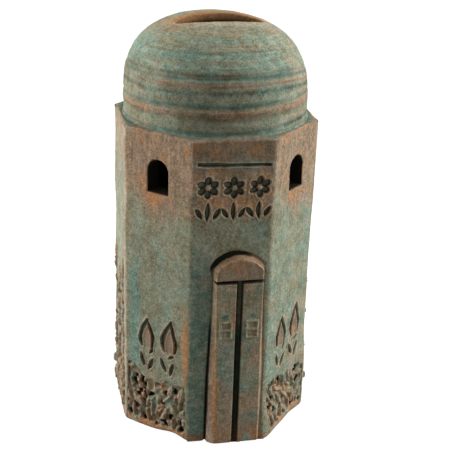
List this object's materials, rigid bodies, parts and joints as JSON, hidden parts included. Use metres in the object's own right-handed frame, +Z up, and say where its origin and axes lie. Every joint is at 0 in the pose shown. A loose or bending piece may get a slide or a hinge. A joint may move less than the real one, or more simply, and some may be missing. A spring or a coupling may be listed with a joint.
{
  "type": "charity box",
  "caption": "Free-standing octagonal stoneware charity box with a thrown dome, a coin slot, arched windows, a relief door, carved foliage and a rubber base stopper.",
  "frame": {"origin": "on the table under the middle of the octagonal body", "axes": "+Z up, the door faces -Y, and +X is to the right seen from the front"},
  "size_m": [0.07, 0.073, 0.1494],
  "materials": {
    "patinated_stoneware": "matte",
    "thrown_stoneware": "matte",
    "door_stoneware": "matte",
    "carved_stoneware": "matte",
    "rubber": "matte"
  },
  "bodies": {
    "box": {"floor_slab": "patinated_stoneware", "wall_front": "patinated_stoneware", "wall_front_right": "patinated_stoneware", "wall_right": "patinated_stoneware", "wall_back_right": "patinated_stoneware", "wall_back": "patinated_stoneware", "wall_back_left": "patinated_stoneware", "wall_left": "patinated_stoneware", "wall_front_left": "patinated_stoneware", "deck_slab": "thrown_stoneware", "luting_coil": "thrown_stoneware", "dome": "thrown_stoneware", "door_head": "door_stoneware", "door_leaf_left": "door_stoneware", "door_leaf_right": "door_stoneware", "door_plaque_left": "door_stoneware", "door_plaque_right": "door_stoneware", "foliage_front_right": "carved_stoneware", "foliage_right": "carved_stoneware", "foliage_back_right": "carved_stoneware", "foliage_back": "carved_stoneware", "foliage_back_left": "carved_stoneware", "foliage_left": "carved_stoneware", "foliage_front_left": "carved_stoneware"},
    "stopper": {"stopper": "rubber"}
  },
  "joints": [
    {"name": "stopper_pull", "type": "slide", "parent": "box", "child": "stopper", "axis": [0, 0, -1], "range_m": [0, 0.014]}
  ]
}
